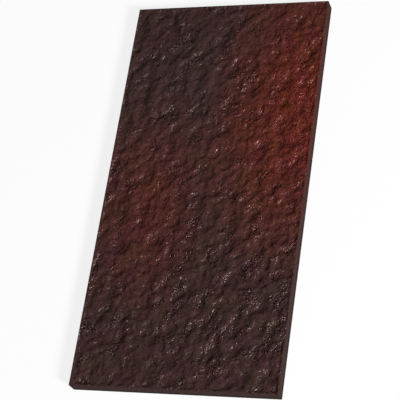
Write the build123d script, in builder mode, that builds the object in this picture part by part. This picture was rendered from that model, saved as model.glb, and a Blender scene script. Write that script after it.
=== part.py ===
"""Stair riser tile: one pressed clinker slab with a riven face, eased edges and a keyed back.

Lengths are in millimetres. The origin is the centre of the back, where the tile
lies on a floor or on its adhesive. +X runs across the tile, +Y along its length
and +Z out of its face.
"""

import os
from math import cos, exp, pi, radians, sin

from build123d import *

# Slab
TILE_WIDTH = 148.0  # across the tile, the riser's height once it is laid
TILE_LENGTH = 300.0
TILE_THICKNESS = 11.0  # from the back to the highest points of the riven face
EASED_EDGE_RADIUS = 0.5  # round the face and down the four corners, still crisp to the eye
BACK_BEVEL = 0.4  # round the back, left by the lower punch

# Keying grooves in the back
GROOVE_WIDTH = 8.0  # at the mouth
GROOVE_DEPTH = 1.2
GROOVE_DRAFT = 25.0  # degrees that each wall leans, so that the punch lifts out
LAND_WIDTH = 5.0  # the rib between two grooves
RIM_WIDTH = 8.0  # least plain margin between the grooves and the tile's edge

# Riven face: hollows and crests where waves of several lengths and headings cross
CREST_RISE = 0.4  # from the flat rim of the face to its worn crests
CREST_REACH = 0.5  # height that a crest would near if it weren't worn
FACE_RIM = 2.0  # width of the flat rim
FACE_STEP = 0.05  # from the rim down to the edge of the riven field
FACE_FADE = 6.0  # width over which the relief grows to its full height
WAVE_COUNT = 7
WAVE_HEIGHT = 0.235  # of each wave, from its middle to its crest
SHORTEST_WAVE = 13.5  # from crest to crest
LONGEST_WAVE = 24.0
WAVE_TURN = 137.5  # degrees from one wave's heading to the next, which never line up
SECTION_PITCH = 5.0  # between the profiles of the relief, and between their points
BED_DEPTH = 3.0  # how deep the riven field is let into the slab

groove_pitch = GROOVE_WIDTH + LAND_WIDTH
groove_length = TILE_LENGTH - 2 * RIM_WIDTH
groove_count = int((TILE_WIDTH - 2 * RIM_WIDTH + LAND_WIDTH) // groove_pitch)

rim_height = TILE_THICKNESS - CREST_RISE
bed_width = TILE_WIDTH - 2 * FACE_RIM
bed_length = TILE_LENGTH - 2 * FACE_RIM
bed_lap = FACE_RIM / 2  # the riven field reaches this far into the slab, all round and below
field_width = bed_width + 2 * bed_lap
field_length = bed_length + 2 * bed_lap
field_foot = rim_height - BED_DEPTH - bed_lap


def riven_height(x, y):
    """Height of the riven field at a place: crossing waves with softened crests, level at the rim."""
    swell = 0
    for wave in range(WAVE_COUNT):
        wavelength = SHORTEST_WAVE + (LONGEST_WAVE - SHORTEST_WAVE) * wave / (WAVE_COUNT - 1)
        heading = radians(WAVE_TURN * wave)
        distance = x * cos(heading) + y * sin(heading)
        swell += WAVE_HEIGHT * sin(2 * pi * distance / wavelength + wave)
    if swell > 0:
        swell = CREST_REACH * (1 - exp(-swell / CREST_REACH))
    from_rim = min(bed_width / 2 - abs(x), bed_length / 2 - abs(y))
    fade = min(1, max(0, from_rim / FACE_FADE))
    return rim_height - FACE_STEP + swell * fade


def spaced(span):
    """Places along a span, from end to end and centred on zero, about a section pitch apart."""
    count = round(span / SECTION_PITCH)
    return [span * (step / count - 1 / 2) for step in range(count + 1)]


with BuildPart() as riser_tile:
    # The slab itself, standing on its back, up to the rim of its face
    with BuildSketch(Plane.XY):
        Rectangle(TILE_WIDTH, TILE_LENGTH)
    extrude(amount=rim_height)

    # One radius eases the rim of the face and the four upright corners
    face = riser_tile.faces().sort_by(Axis.Z)[-1]
    corners = riser_tile.edges().filter_by(Axis.Z)
    fillet(face.edges() + corners, radius=EASED_EDGE_RADIUS)

    # A narrow bevel takes the sharp edge off the back
    back = riser_tile.faces().sort_by(Axis.Z)[0]
    chamfer(back.edges(), length=BACK_BEVEL)

    # Blind, round-ended grooves along the back, inside a plain rim
    with BuildSketch(Plane.XY):
        with GridLocations(groove_pitch, 0, groove_count, 1):
            SlotOverall(groove_length, GROOVE_WIDTH, rotation=90)
    extrude(amount=GROOVE_DEPTH, taper=GROOVE_DRAFT, mode=Mode.SUBTRACT)

    # The bed that the riven field fills
    with BuildSketch(Plane.XY.offset(rim_height)):
        Rectangle(bed_width, bed_length)
    extrude(amount=-BED_DEPTH, mode=Mode.SUBTRACT)

    # The riven field: profiles across the tile, one behind the other along its length
    for y in spaced(field_length):
        relief = [(x, riven_height(x, y)) for x in spaced(field_width)]
        left_foot = (-field_width / 2, field_foot)
        right_foot = (field_width / 2, field_foot)
        with BuildSketch(Plane.XZ.offset(-y)):
            with BuildLine():
                Spline(*relief)
                Polyline(relief[0], left_foot, right_foot, relief[-1])
            make_face()
    loft(ruled=True)

    # Stacking and handling wear the highest crests level
    split(bisect_by=Plane.XY.offset(TILE_THICKNESS), keep=Keep.BOTTOM)

riser_tile.part.label = "riser_tile"

os.makedirs("parts", exist_ok=True)
export_step(riser_tile.part, "parts/riser_tile.step")
size = riser_tile.part.bounding_box().size
print(f"{groove_count} grooves, volume {riser_tile.part.volume:.0f} mm3, size {size}")
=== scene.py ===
# %% [markdown]
# # A riven clinker riser tile
# A riser tile faces the upright part of a stair. This one is a single slab of clay, pressed with a
# broken-stone face and fired until it is nearly black, with red flashes where the kiln had more
# air. The slab's true size comes from the CAD frame, and everything here is built around it in
# metres.

# %% Load the frame
import math

import bpy
from mathutils import Matrix, Vector


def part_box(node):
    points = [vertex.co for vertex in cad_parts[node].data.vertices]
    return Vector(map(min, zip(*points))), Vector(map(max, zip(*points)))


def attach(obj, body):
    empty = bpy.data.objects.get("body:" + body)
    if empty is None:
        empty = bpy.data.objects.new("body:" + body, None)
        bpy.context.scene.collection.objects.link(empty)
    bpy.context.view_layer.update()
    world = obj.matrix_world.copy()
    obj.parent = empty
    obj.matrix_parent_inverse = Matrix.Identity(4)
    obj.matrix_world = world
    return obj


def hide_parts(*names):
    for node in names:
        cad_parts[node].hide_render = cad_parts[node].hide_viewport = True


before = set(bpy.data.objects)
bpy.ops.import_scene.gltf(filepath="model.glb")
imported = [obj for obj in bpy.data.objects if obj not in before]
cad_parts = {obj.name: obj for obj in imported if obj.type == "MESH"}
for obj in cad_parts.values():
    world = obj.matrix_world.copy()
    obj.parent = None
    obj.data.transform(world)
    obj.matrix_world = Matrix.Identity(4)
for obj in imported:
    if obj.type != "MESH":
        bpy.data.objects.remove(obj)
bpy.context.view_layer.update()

MM = 0.001
tile_low, tile_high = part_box("riser_tile")
tile_width, tile_length, tile_thickness = tile_high - tile_low
print(f"tile {tile_width / MM:.1f} x {tile_length / MM:.1f} x {tile_thickness / MM:.1f} mm")

# %% [markdown]
# ## Camera
# The picture looks down on the tile from one corner with a long lens, and the camera is rolled so
# that the tile stands almost upright in the frame. An aim point, a distance and three angles say
# this in a way that a photographer would, and the camera's matrix follows from them.

# %% Place the camera
AIM = Vector((-0.46, -11.16, 11.0)) * MM
CAMERA_DISTANCE = 1.0208
CAMERA_AZIMUTH = math.radians(39.32)
CAMERA_ELEVATION = math.radians(58.31)
CAMERA_ROLL = math.radians(-34.82)
LENS = 131.255


def direction(azimuth, elevation):
    """The way from the aim point to something at that azimuth, from -Y towards +X, and elevation."""
    level = math.cos(elevation)
    return Vector((math.sin(azimuth) * level, -math.cos(azimuth) * level, math.sin(elevation)))


bpy.ops.object.select_all(action="DESELECT")
bpy.ops.object.camera_add()
camera = bpy.context.object
camera.name = "photo_camera"
camera.data.lens = LENS
to_camera = direction(CAMERA_AZIMUTH, CAMERA_ELEVATION)
level_view = (-to_camera).to_track_quat("-Z", "Y").to_matrix().to_4x4()
camera.matrix_world = (
    Matrix.Translation(AIM + to_camera * CAMERA_DISTANCE)
    @ level_view
    @ Matrix.Rotation(CAMERA_ROLL, 4, "Z")
)
bpy.context.scene.camera = camera
bpy.context.scene.view_settings.view_transform = "Standard"
print("camera at", [round(value, 3) for value in camera.matrix_world.translation])

# %% [markdown]
# ## Floor
# The tile lies on white paper. Paper under a raking lamp would come out grey, so a share of it
# glows for the rays that the camera sends, and for those that reach it by a reflection. The rest
# stays matt and takes the tile's shadow. Every material below is wired by the same small helper.


# %% Lay the floor
def add_node(tree, kind, sockets=None, **settings):
    """Adds a node, sets its settings, and fills or links its input sockets."""
    made = tree.nodes.new(kind)
    for setting, value in settings.items():
        setattr(made, setting, value)
    for socket, value in (sockets or {}).items():
        if isinstance(value, bpy.types.NodeSocket):
            tree.links.new(value, made.inputs[socket])
        else:
            made.inputs[socket].default_value = value
    return made


def add_math(tree, operation, first, second):
    """The result of a Math node on two values or sockets."""
    return add_node(tree, "ShaderNodeMath", {0: first, 1: second}, operation=operation).outputs[0]


FLOOR_SIZE = 20.0
FLOOR_WHITE = 0.9
FLOOR_GLOW = 0.85

bpy.ops.mesh.primitive_plane_add(size=FLOOR_SIZE)
floor = bpy.context.object
floor.name = "floor"
paper = bpy.data.materials.new("white_paper")
paper.use_nodes = True
tree = paper.node_tree
tree.nodes.clear()
matt = add_node(tree, "ShaderNodeBsdfDiffuse", {"Color": (FLOOR_WHITE, FLOOR_WHITE, FLOOR_WHITE, 1)})
glow = add_node(tree, "ShaderNodeEmission")
rays = add_node(tree, "ShaderNodeLightPath").outputs
seen = add_math(tree, "ADD", rays["Is Camera Ray"], rays["Is Glossy Ray"])
seen = add_math(tree, "ADD", seen, rays["Is Transmission Ray"])
shown = add_node(
    tree,
    "ShaderNodeMixShader",
    {0: add_math(tree, "MULTIPLY", seen, FLOOR_GLOW), 1: matt.outputs[0], 2: glow.outputs[0]},
)
add_node(tree, "ShaderNodeOutputMaterial", {"Surface": shown.outputs[0]})
floor.data.materials.append(paper)
print("floor nodes", len(tree.nodes))

# %% [markdown]
# ## Light
# Relief only shows when light rakes across it, so one soft lamp stands low on the right, and a dim
# even room fills the shadows. Their shares of the light on a level surface add up to one, so a
# colour renders about as it is written.

# %% Hang the lamp and fill the room
KEY_SHARE = 0.88
KEY_AZIMUTH = math.radians(57.0)
KEY_ELEVATION = math.radians(30.0)
KEY_DISTANCE = 3.0
KEY_SIZE = 0.6
WORLD_SHARE = 0.12

towards_key = direction(KEY_AZIMUTH, KEY_ELEVATION)
bpy.ops.object.light_add(type="AREA", location=AIM + towards_key * KEY_DISTANCE)
key_lamp = bpy.context.object
key_lamp.name = "key_lamp"
key_lamp.rotation_mode = "QUATERNION"
key_lamp.rotation_quaternion = towards_key.to_track_quat("Z", "Y")
key_lamp.data.size = KEY_SIZE
# A level surface gets this share of the light that would show its colour just as it is written
key_lamp.data.energy = KEY_SHARE * math.pi**2 * KEY_DISTANCE**2 / math.sin(KEY_ELEVATION)
room = bpy.data.worlds.new("even_room")
room.use_nodes = True
room.node_tree.nodes["Background"].inputs["Color"].default_value = (1, 1, 1, 1)
room.node_tree.nodes["Background"].inputs["Strength"].default_value = WORLD_SHARE
bpy.context.scene.world = room
print(f"key lamp {key_lamp.data.energy:.1f} W")

# %% [markdown]
# ## The face
# The press forms the whole tile in one stroke, and the face is where all the detail is. It starts
# as a flat grid with cells of about 0.7 mm, the finest that keeps the tile under 200,000 triangles.
# The main hollows are in the CAD slab, so the grid is hung above it and a Shrinkwrap drops it onto
# the slab.

# %% Drape a grid over the slab
CELLS_ACROSS = 204
CELLS_ALONG = 416
ARRIS_RADIUS = 0.5 * MM

face_width = tile_width - 2 * ARRIS_RADIUS
face_length = tile_length - 2 * ARRIS_RADIUS
bpy.ops.object.select_all(action="DESELECT")
bpy.ops.mesh.primitive_grid_add(
    x_subdivisions=CELLS_ACROSS, y_subdivisions=CELLS_ALONG, size=1, location=(0, 0, 2 * tile_thickness)
)
tile = bpy.context.object
tile.name = "fired_tile"
tile.scale = (face_width, face_length, 1)
bpy.ops.object.transform_apply(location=True, rotation=True, scale=True)
bpy.ops.object.modifier_add(type="SHRINKWRAP")
drape = tile.modifiers[-1]
drape.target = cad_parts["riser_tile"]
drape.wrap_method = "PROJECT"
drape.use_project_z = True
drape.use_positive_direction = False
drape.use_negative_direction = True
bpy.ops.object.modifier_apply(modifier=drape.name)
heights = [vertex.co.z for vertex in tile.data.vertices]
print(f"face cells {face_width / CELLS_ACROSS / MM:.2f} x {face_length / CELLS_ALONG / MM:.2f} mm")
print(f"draped heights {min(heights) / MM:.2f} to {max(heights) / MM:.2f} mm")

# %% [markdown]
# ## Straight rim
# The slab is made of flat facets, and a Smooth modifier takes them out of the face. The arris is
# straight, because the die cuts it clean, so the border of the grid is then levelled in edit mode
# by a resize to nothing along Z, about the height of the rim.


# %% Smooth the facets and level the rim
def select_vertices(piece, test):
    """Selects the vertices of a piece that pass a test of their place, and nothing else."""
    for part in (piece.data.vertices, piece.data.edges, piece.data.polygons):
        part.foreach_set("select", [False] * len(part))
    for vertex in piece.data.vertices:
        vertex.select = test(vertex.co)


def from_rim(place):
    """How far a place on the face lies from its border."""
    return min(face_width / 2 - abs(place.x), face_length / 2 - abs(place.y))


FACET_SMOOTHING = 12
RIM_EDGE = 0.1 * MM

rim_height = max(vertex.co.z for vertex in tile.data.vertices if from_rim(vertex.co) < RIM_EDGE)
bpy.ops.object.modifier_add(type="SMOOTH")
soften = tile.modifiers[-1]
soften.iterations = FACET_SMOOTHING
soften.use_x = False
soften.use_y = False
bpy.ops.object.modifier_apply(modifier=soften.name)
select_vertices(tile, lambda place: from_rim(place) < RIM_EDGE)
bpy.ops.object.mode_set(mode="EDIT")
bpy.ops.mesh.select_mode(type="VERT")
bpy.ops.transform.resize(value=(1, 1, 0), center_override=(0, 0, rim_height))
bpy.ops.object.mode_set(mode="OBJECT")
print(f"rim at {rim_height / MM:.2f} mm")

# %% [markdown]
# ## Riven relief
# The face looks like split stone, with every hollow broken into smaller and smaller steps. A
# fractal texture in a Displace modifier gives them all at once. An empty turns the texture, so that
# its clefts run aslant, and a vertex group keeps it off the rim.

# %% Press the relief into the face
RIM_FADE = 1.5 * MM
CLEFT_SIZE = 6.0 * MM
CLEFT_TURN = math.radians(57.0)
CLEFT_DEPTH = 0.82 * MM
CLEFT_MIDDLE = 0.5
CLEFT_FALL = 0.85
CLEFT_STEPS = 2.0
CLEFT_RATIO = 2.0

relief_group = tile.vertex_groups.new(name="relief")
for vertex in tile.data.vertices:
    relief_group.add([vertex.index], min(1, max(0, from_rim(vertex.co) / RIM_FADE)), "REPLACE")
clefts = bpy.data.textures.new("clefts", type="MUSGRAVE")
clefts.musgrave_type = "FBM"
clefts.noise_basis = "BLENDER_ORIGINAL"
clefts.noise_scale = CLEFT_SIZE
clefts.dimension_max = CLEFT_FALL
clefts.lacunarity = CLEFT_RATIO
clefts.octaves = CLEFT_STEPS
clefts.use_clamp = False
bpy.ops.object.empty_add(rotation=(0, 0, CLEFT_TURN))
cleft_axes = bpy.context.object
bpy.context.view_layer.objects.active = tile
bpy.ops.object.modifier_add(type="DISPLACE")
displace = tile.modifiers[-1]
displace.texture = clefts
displace.texture_coords = "OBJECT"
displace.texture_coords_object = cleft_axes
displace.direction = "Z"
displace.vertex_group = relief_group.name
displace.mid_level = CLEFT_MIDDLE
displace.strength = CLEFT_DEPTH
bpy.ops.object.modifier_apply(modifier=displace.name)
bpy.data.objects.remove(cleft_axes)
heights = [vertex.co.z for vertex in tile.data.vertices]
print(f"heights {min(heights) / MM:.2f} to {max(heights) / MM:.2f} mm")

# %% [markdown]
# ## Worn crests
# The highest points set the tile's thickness, and stacking and handling wear them. Points above the
# rim are pressed towards it in edit mode, and then the highest of these once more, so that they are
# rounded and not cut off. The last resize is worked out so that the very highest reaches the true
# thickness.

# %% Press the crests down
CREST_LEVELS = (rim_height, (rim_height + tile_thickness) / 2)

for level in CREST_LEVELS:
    highest = max(vertex.co.z for vertex in tile.data.vertices)
    wanted = tile_thickness if level == CREST_LEVELS[-1] else (highest + tile_thickness) / 2
    squash = min(1, (wanted - level) / (highest - level))
    select_vertices(tile, lambda place: place.z > level)
    bpy.ops.object.mode_set(mode="EDIT")
    bpy.ops.mesh.select_mode(type="VERT")
    bpy.ops.transform.resize(value=(1, 1, squash), center_override=(0, 0, level))
    bpy.ops.object.mode_set(mode="OBJECT")
    print(f"crests above {level / MM:.2f} mm pressed to {squash:.2f} of their height")

# %% [markdown]
# ## Arris and sides
# The sides are plain, and the arris between face and side is crisp. The face's border is pulled out
# and down, a step at a time, round the small radius of the arris and along the sides to the back.
# Each step is an extrude and a resize.


# %% Pull the border round the arris and down the sides
def pull_border(size, wider, down):
    """Extrudes the selected border downwards, makes it that much wider, and returns its new size."""
    bpy.ops.mesh.extrude_region_move(TRANSFORM_OT_translate={"value": (0, 0, -down)})
    across, along = size
    grown = (across + 2 * wider, along + 2 * wider)
    bpy.ops.transform.resize(
        value=(grown[0] / across, grown[1] / along, 1), center_override=(0, 0, 0)
    )
    return grown


ARRIS_STEPS = 3
BACK_BEVEL = 0.4 * MM

border = (face_width, face_length)
bpy.ops.object.mode_set(mode="EDIT")
bpy.ops.mesh.select_mode(type="EDGE")
bpy.ops.mesh.select_all(action="SELECT")
bpy.ops.mesh.region_to_loop()
for step in range(ARRIS_STEPS):
    before = math.radians(90) * step / ARRIS_STEPS
    after = math.radians(90) * (step + 1) / ARRIS_STEPS
    border = pull_border(
        border,
        ARRIS_RADIUS * (math.sin(after) - math.sin(before)),
        ARRIS_RADIUS * (math.cos(before) - math.cos(after)),
    )
border = pull_border(border, 0, rim_height - ARRIS_RADIUS - BACK_BEVEL)
border = pull_border(border, -BACK_BEVEL, BACK_BEVEL)
bpy.ops.mesh.edge_face_add()
bpy.ops.object.mode_set(mode="OBJECT")
print("slab faces", len(tile.data.polygons))

# %% [markdown]
# ## Keying grooves
# The back has blind grooves with leaning walls, so that the adhesive grips it. One groove is a
# plate with rounded ends whose top is inset and raised, and an array repeats it. A boolean then
# sinks them all.

# %% Shape one groove
GROOVE_WIDTH = 8.0 * MM
GROOVE_PITCH = 13.0 * MM
GROOVE_COUNT = 10
GROOVE_DEPTH = 1.2 * MM
GROOVE_DRAFT = math.radians(25)
GROOVE_RIM = 8.0 * MM
GROOVE_END_STEPS = 8
CUT_OVERRUN = 1.0 * MM
MERGE_DISTANCE = 0.01 * MM

groove_length = tile_length - 2 * GROOVE_RIM
first_groove = -GROOVE_PITCH * (GROOVE_COUNT - 1) / 2
bpy.ops.object.select_all(action="DESELECT")
bpy.ops.mesh.primitive_plane_add(size=1, location=(first_groove, 0, 0))
groove = bpy.context.object
groove.name = "groove"
groove.scale = (GROOVE_WIDTH, groove_length, 1)
bpy.ops.object.transform_apply(location=True, rotation=True, scale=True)
bpy.ops.object.mode_set(mode="EDIT")
bpy.ops.mesh.select_all(action="SELECT")
bpy.ops.mesh.bevel(offset=GROOVE_WIDTH / 2, segments=GROOVE_END_STEPS, affect="VERTICES")
bpy.ops.mesh.select_all(action="SELECT")
bpy.ops.mesh.remove_doubles(threshold=MERGE_DISTANCE)
bpy.ops.mesh.select_mode(type="FACE")
bpy.ops.mesh.select_all(action="SELECT")
bpy.ops.mesh.extrude_region_move(TRANSFORM_OT_translate={"value": (0, 0, -CUT_OVERRUN)})
bpy.ops.mesh.select_all(action="SELECT")
bpy.ops.mesh.normals_make_consistent(inside=False)
bpy.ops.object.mode_set(mode="OBJECT")
select_vertices(groove, lambda place: place.z > -CUT_OVERRUN / 2)
bpy.ops.object.mode_set(mode="EDIT")
bpy.ops.mesh.select_mode(type="VERT")
bpy.ops.mesh.select_mode(type="FACE")
bpy.ops.mesh.inset(thickness=GROOVE_DEPTH * math.tan(GROOVE_DRAFT), depth=GROOVE_DEPTH)
bpy.ops.object.mode_set(mode="OBJECT")
groove_top = max(vertex.co.z for vertex in groove.data.vertices)
print(f"groove faces {len(groove.data.polygons)}, top at {groove_top / MM:.2f} mm")

# %% Sink all the grooves
SMOOTH_ANGLE = math.radians(42)

bpy.ops.object.modifier_add(type="ARRAY")
row = groove.modifiers[-1]
row.count = GROOVE_COUNT
row.use_relative_offset = False
row.use_constant_offset = True
row.constant_offset_displace = (GROOVE_PITCH, 0, 0)
bpy.ops.object.modifier_apply(modifier=row.name)
bpy.ops.object.select_all(action="DESELECT")
tile.select_set(True)
bpy.context.view_layer.objects.active = tile
bpy.ops.object.modifier_add(type="BOOLEAN")
sink = tile.modifiers[-1]
sink.object = groove
sink.operation = "DIFFERENCE"
sink.solver = "MANIFOLD"
bpy.ops.object.modifier_apply(modifier=sink.name)
bpy.data.objects.remove(groove)
bpy.ops.object.shade_smooth_by_angle(angle=SMOOTH_ANGLE)
tile.data.calc_loop_triangles()
print("tile triangles", len(tile.data.loop_triangles))

# %% [markdown]
# ## Kiln flashing
# The kiln colours the clay unevenly: starved of air it turns almost black, and where air reaches it
# the iron burns red. Two soft patches of red, ragged at their edges, stand for that. The face and the
# sides share them, so they are a node group.

# %% Build the flash group
THROUGH = 500  # reach in Z, so great that a patch is the same right through the tile

# Centre, reach and strength of each flash
FLASHES = [
    (Vector((66, 64, 0)) * MM, Vector((78, 142, THROUGH)) * MM, 1.15),
    (Vector((-40, -11, 0)) * MM, Vector((56, 94, THROUGH)) * MM, 0.52),
]
WANDER_SIZE = 40 * MM
WANDER = 24 * MM
MOTTLE_SIZE = 14 * MM
MOTTLE = 0.2
FLASH_DETAIL = 3.0
NOISE_MIDDLE = 0.5


def start_group(name, values, results):
    """A shader node group that takes a Position and the named values, and gives the named results."""
    group = bpy.data.node_groups.new(name, "ShaderNodeTree")
    group.interface.new_socket("Position", in_out="INPUT", socket_type="NodeSocketVector")
    for value in values:
        group.interface.new_socket(value, in_out="INPUT", socket_type="NodeSocketFloat")
    for result in results:
        group.interface.new_socket(result, in_out="OUTPUT", socket_type="NodeSocketFloat")
    return group, add_node(group, "NodeGroupInput").outputs


def add_noise(tree, place, size, detail):
    """A Noise Texture with features of about that size."""
    sockets = {"Vector": place, "Scale": 1 / size, "Detail": detail}
    return add_node(tree, "ShaderNodeTexNoise", sockets).outputs


def swing(tree, noise, depth):
    """A noise value made to swing about zero, by that depth from end to end."""
    return add_math(tree, "MULTIPLY", add_math(tree, "SUBTRACT", noise, NOISE_MIDDLE), depth)


def add_spot(tree, place, centre, reach):
    """A soft patch: one at its centre, falling to nothing at its reach."""
    laid = {"Vector": place, "Location": centre, "Scale": reach}
    laid = add_node(tree, "ShaderNodeMapping", laid, vector_type="TEXTURE").outputs["Vector"]
    spot = add_node(tree, "ShaderNodeTexGradient", {"Vector": laid}, gradient_type="SPHERICAL")
    return spot.outputs["Fac"]


flash_group, given = start_group("kiln_flash", [], ["Flash"])
place = given["Position"]
wander = add_noise(flash_group, place, WANDER_SIZE, FLASH_DETAIL)["Color"]
wander = add_node(
    flash_group, "ShaderNodeVectorMath", {0: wander, 1: [NOISE_MIDDLE] * 3}, operation="SUBTRACT"
)
shifted = add_node(
    flash_group,
    "ShaderNodeVectorMath",
    {0: wander.outputs[0], 1: [WANDER] * 3, 2: place},
    operation="MULTIPLY_ADD",
).outputs[0]
mottle = add_noise(flash_group, place, MOTTLE_SIZE, FLASH_DETAIL)["Fac"]
total = swing(flash_group, mottle, MOTTLE)
for centre, reach, strength in FLASHES:
    red = add_math(flash_group, "MULTIPLY", add_spot(flash_group, shifted, centre, reach), strength)
    total = add_math(flash_group, "ADD", total, red)
clamped = add_node(flash_group, "ShaderNodeClamp", {"Value": total})
add_node(flash_group, "NodeGroupOutput", {"Flash": clamped.outputs[0]})
print("kiln flash nodes", len(flash_group.nodes))

# %% [markdown]
# ## Broken grain
# Under the clefts the clay breaks into chips of a few millimetres and grit of about one. They are
# too fine for the mesh, so they are a height for the Bump node, in metres. The lowest of the grit
# is given out a second time as pits, which are painted darker, as painted shade in them. How broken
# a place is scales both.

# %% Build the grain group
CHIP_SIZE = 2.4 * MM
CHIP_DEPTH = 0.9 * MM
GRIT_SIZE = 1.4 * MM
GRIT_DEPTH = 1.4 * MM
GRAIN_DETAIL = 2.0
PIT_LEVEL = 0.49
PIT_EDGE = 0.1


def spread(tree, value, low, high, low_result, high_result):
    """A value between low and high, moved to between the two results."""
    ends = {"From Min": low, "From Max": high, "To Min": low_result, "To Max": high_result}
    return add_node(tree, "ShaderNodeMapRange", {"Value": value, **ends}).outputs["Result"]


def turn_with_clefts(tree, place, stretch):
    """A place seen along the clefts, and that much longer this way."""
    turned = {"Vector": place, "Rotation": (0, 0, CLEFT_TURN), "Scale": (stretch, 1, 1)}
    return add_node(tree, "ShaderNodeMapping", turned, vector_type="TEXTURE").outputs["Vector"]


grain_group, given = start_group("broken_grain", ["Broken"], ["Height", "Pits"])
broken = given["Broken"]
place = turn_with_clefts(grain_group, given["Position"], 1)
chips = add_noise(grain_group, place, CHIP_SIZE, GRAIN_DETAIL)["Fac"]
grit = add_noise(grain_group, place, GRIT_SIZE, GRAIN_DETAIL)["Fac"]
height = add_math(
    grain_group, "ADD", swing(grain_group, chips, CHIP_DEPTH), swing(grain_group, grit, GRIT_DEPTH)
)
height = add_math(grain_group, "MULTIPLY", height, broken)
# Painted shade: this mask darkens the pits in both materials
pits = spread(grain_group, grit, PIT_LEVEL, PIT_LEVEL - PIT_EDGE, 0.0, 1.0)
pits = add_math(grain_group, "MULTIPLY", pits, broken)
add_node(grain_group, "NodeGroupOutput", {"Height": height, "Pits": pits})
print("broken grain nodes", len(grain_group.nodes))

# %% [markdown]
# ## Clay colours
# The iron in the clay gives the face its colours. Smoked, it wavers between plum and olive
# brown, and burnt red, between crimson and brick. So a noise mixes each pair, and the flash chooses
# between the two. Where the kiln was most starved of air the smoke is nearer to charcoal. The
# hollows are painted darker than the crests, as painted shade.

# %% Mix the colour of the face
SMOKED_PLUM = (0.0512, 0.0221, 0.0233, 1)
SMOKED_OLIVE = (0.0504, 0.0259, 0.0193, 1)
CHARCOAL = (0.0556, 0.0305, 0.0298, 1)
CRIMSON_RED = (0.150, 0.0200, 0.0163, 1)
BRICK_RED = (0.137, 0.0240, 0.0078, 1)
STARVED_CENTRE = Vector((-32, 70, 0)) * MM
STARVED_REACH = Vector((80, 110, THROUGH)) * MM
STARVED_SHARE = 0.6
HUE_SIZE = 16 * MM
RED_HUE_SIZE = 13 * MM
HUE_DETAIL = 4.0
HUE_LOW = 0.35
HUE_HIGH = 0.65
HOLLOW_SHADE_DEPTH = 1.6 * MM
HOLLOW_SHADE = 0.75


def start_material(name):
    """A new material, its node tree, its shader and the piece's own coordinates."""
    material = bpy.data.materials.new(name)
    material.use_nodes = True
    tree = material.node_tree
    coordinates = add_node(tree, "ShaderNodeTexCoord")
    return material, tree, tree.nodes["Principled BSDF"], coordinates.outputs["Object"]


def place_group(tree, group, sockets):
    """The outputs of a node group placed in a material."""
    return add_node(tree, "ShaderNodeGroup", sockets, node_tree=group).outputs


def mix_colours(tree, share, first, second, blend="MIX"):
    """A colour between two, or the first one blended with the second."""
    mixed = add_node(
        tree,
        "ShaderNodeMix",
        {"Factor": share, 6: first, 7: second},
        data_type="RGBA",
        blend_type=blend,
    )
    return mixed.outputs[2]


def waver(tree, place, size, first, second):
    """A colour that wavers between two, over patches of about that size."""
    noise = add_noise(tree, place, size, HUE_DETAIL)["Fac"]
    return mix_colours(tree, spread(tree, noise, HUE_LOW, HUE_HIGH, 0.0, 1.0), first, second)


riven, tree, skin, place = start_material("riven_skin")
smoked = waver(tree, place, HUE_SIZE, SMOKED_PLUM, SMOKED_OLIVE)
starved = add_spot(tree, place, STARVED_CENTRE, STARVED_REACH)
smoked = mix_colours(tree, add_math(tree, "MULTIPLY", starved, STARVED_SHARE), smoked, CHARCOAL)
reddened = waver(tree, place, RED_HUE_SIZE, CRIMSON_RED, BRICK_RED)
flash = place_group(tree, flash_group, {"Position": place})["Flash"]
colour = mix_colours(tree, flash, smoked, reddened)
height = add_node(tree, "ShaderNodeSeparateXYZ", {"Vector": place}).outputs["Z"]
# Painted shade: the face darkens in the hollows below the rim
hollow_shade = spread(tree, height, rim_height - HOLLOW_SHADE_DEPTH, rim_height, HOLLOW_SHADE, 1.0)
colour = mix_colours(tree, 1.0, colour, hollow_shade, "MULTIPLY")
print("colour nodes", len(tree.nodes))

# %% [markdown]
# ## Broken patches
# Split stone has clean faces and ragged ones. Here the ragged places are streaks along the clefts,
# made by a stretched noise, and the steep flanks of the relief, which the Geometry node's Normal
# finds. The red places look more broken too, perhaps because smoke makes clay melt sooner and
# closes its grain. A Maximum joins all three, and the grain is laid over the face by the result:
# full on broken places, weak on clean ones.

# %% Find the broken patches and lay the grain
BREAK_SIZE = 8.0 * MM
BREAK_STRETCH = 2.2
BREAK_DETAIL = 2.0
BREAK_LOW = 0.5
BREAK_HIGH = 0.62
CLEAN_FACING = 0.985
BROKEN_FACING = 0.945
STEEP_SHARE = 0.5
RED_SHARE = 0.6
CLEAN_SPLIT = 0.32


def facing(tree, normal):
    """How squarely a normal looks out of the face: its Z in the tile's own axes."""
    own = add_node(
        tree,
        "ShaderNodeVectorTransform",
        {"Vector": normal},
        vector_type="NORMAL",
        convert_from="WORLD",
        convert_to="OBJECT",
    )
    return add_node(tree, "ShaderNodeSeparateXYZ", {"Vector": own.outputs["Vector"]}).outputs["Z"]


along = turn_with_clefts(tree, place, BREAK_STRETCH)
streaks = add_noise(tree, along, BREAK_SIZE, BREAK_DETAIL)["Fac"]
patches = spread(tree, streaks, BREAK_LOW, BREAK_HIGH, 0.0, 1.0)
slope = facing(tree, add_node(tree, "ShaderNodeNewGeometry").outputs["Normal"])
steep = spread(tree, slope, CLEAN_FACING, BROKEN_FACING, 0.0, STEEP_SHARE)
broken = add_math(tree, "MAXIMUM", patches, steep)
broken = add_math(tree, "MAXIMUM", broken, add_math(tree, "MULTIPLY", flash, RED_SHARE))
broken = spread(tree, broken, 0.0, 1.0, CLEAN_SPLIT, 1.0)
grain = place_group(tree, grain_group, {"Position": place, "Broken": broken})
print("nodes with the grain", len(tree.nodes))
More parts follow.
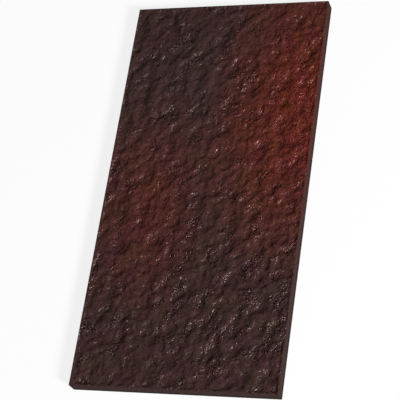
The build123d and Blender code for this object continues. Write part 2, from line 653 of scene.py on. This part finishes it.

# %% [markdown]
# ## Riven skin
# The face is vitrified, and slightly metallic from the iron, so its glints take some of the clay's
# own colour. The steep facets of the grain are glassy under a thin glaze. The level ones are dull,
# as if worn, because glassy ones would flare white under the raking lamp when the tile is seen from
# behind. So the roughness and the weight of the coat follow the slope of the bumped normal. The
# coat needs that normal too, or it would shine as if the face were smooth. The pits are painted
# darker and redder than the rest, as painted shade in them.

# %% Finish the riven skin
METAL = 0.22
GLINT_TINT = (1.0, 0.85, 0.82, 1)
SKIN_GLOSS = 0.22
GLASSY_FACING = 0.75
DULL_FACING = 0.92
GLASSY_ROUGHNESS = 0.35
DULL_ROUGHNESS = 0.8
GLAZE = 0.4
GLAZE_ROUGHNESS = 0.25
PIT_SHADE = (0.25, 0.12, 0.08, 1)

# Painted shade in the pits: their colour is darkened and reddened
colour = mix_colours(tree, grain["Pits"], colour, PIT_SHADE, "MULTIPLY")
tree.links.new(colour, skin.inputs["Base Color"])
skin.inputs["Metallic"].default_value = METAL
skin.inputs["Specular IOR Level"].default_value = SKIN_GLOSS
skin.inputs["Specular Tint"].default_value = GLINT_TINT
bump = add_node(tree, "ShaderNodeBump", {"Height": grain["Height"], "Distance": 1.0})
tree.links.new(bump.outputs["Normal"], skin.inputs["Normal"])
slope = facing(tree, bump.outputs["Normal"])
rough = spread(tree, slope, GLASSY_FACING, DULL_FACING, GLASSY_ROUGHNESS, DULL_ROUGHNESS)
tree.links.new(rough, skin.inputs["Roughness"])
glaze = spread(tree, slope, GLASSY_FACING, DULL_FACING, GLAZE, 0.0)
tree.links.new(glaze, skin.inputs["Coat Weight"])
tree.links.new(bump.outputs["Normal"], skin.inputs["Coat Normal"])
skin.inputs["Coat Roughness"].default_value = GLAZE_ROUGHNESS
print("riven skin nodes", len(tree.nodes))

# %% [markdown]
# ## Pressed edge
# The sides and the back are the bare body of the clay: matt, fine-grained and browner than the
# face. The sides are painted darker towards their foot, as painted shade near the floor, and their
# pits are painted darker as shade in them. The back is told from them by its normal, which looks
# down, and keeps the plain brown.

# %% Mix the pressed edge
EDGE_BROWN = (0.0325, 0.0155, 0.0138, 1)
EDGE_RED = (0.048, 0.0145, 0.0118, 1)
FOOT_SHADE = 0.35
FOOT_SHADE_LOW = 1.5 * MM
FOOT_SHADE_TOP = 5.0 * MM
EDGE_GRAIN = 0.25
EDGE_GLOSS = 0.06
EDGE_PIT_SHADE = 0.7
EDGE_ROUGHNESS = 0.75
EDGE_PIT_ROUGHNESS = 0.9
SIDE_FACING = -0.1
BACK_FACING = -0.4

edge, tree, skin, place = start_material("pressed_edge")
flash = place_group(tree, flash_group, {"Position": place})["Flash"]
colour = mix_colours(tree, flash, EDGE_BROWN, EDGE_RED)
height = add_node(tree, "ShaderNodeSeparateXYZ", {"Vector": place}).outputs["Z"]
# Painted shade: the sides darken towards their foot, near the floor
foot_shade = spread(tree, height, FOOT_SHADE_LOW, FOOT_SHADE_TOP, FOOT_SHADE, 1.0)
slope = facing(tree, add_node(tree, "ShaderNodeNewGeometry").outputs["Normal"])
back = spread(tree, slope, SIDE_FACING, BACK_FACING, 0.0, 1.0)
grain = place_group(tree, grain_group, {"Position": place, "Broken": 1.0})
# Painted shade: the pits of the sides are darkened, and the back is kept out of the foot shade
shade = spread(tree, grain["Pits"], 0.0, 1.0, 1.0, EDGE_PIT_SHADE)
shade = add_math(tree, "MULTIPLY", add_math(tree, "MAXIMUM", foot_shade, back), shade)
colour = mix_colours(tree, 1.0, colour, shade, "MULTIPLY")
tree.links.new(colour, skin.inputs["Base Color"])
rough = spread(tree, grain["Pits"], 0.0, 1.0, EDGE_ROUGHNESS, EDGE_PIT_ROUGHNESS)
tree.links.new(rough, skin.inputs["Roughness"])
skin.inputs["Specular IOR Level"].default_value = EDGE_GLOSS
bump = add_node(tree, "ShaderNodeBump", {"Height": grain["Height"], "Distance": EDGE_GRAIN})
tree.links.new(bump.outputs["Normal"], skin.inputs["Normal"])
print("pressed edge nodes", len(tree.nodes))

# %% [markdown]
# ## Dressing the tile
# The riven skin laps a little over the arris and ends there. Each face of the mesh takes its
# material by its place, inside that border or outside it, so none has to be picked by hand.

# %% Lay the materials on the tile
SKIN_LAP = 0.2 * MM


def is_riven(polygon):
    """Whether a face looks up and lies inside the border of the riven skin."""
    return polygon.normal.z > 0 and from_rim(polygon.center) > -SKIN_LAP


tile.data.materials.clear()
tile.data.materials.append(riven)
tile.data.materials.append(edge)
for polygon in tile.data.polygons:
    polygon.material_index = 0 if is_riven(polygon) else 1
print("faces of the riven skin", sum(polygon.material_index == 0 for polygon in tile.data.polygons))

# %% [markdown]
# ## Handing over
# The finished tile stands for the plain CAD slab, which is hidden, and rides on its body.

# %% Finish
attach(tile, "root")
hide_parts("riser_tile")
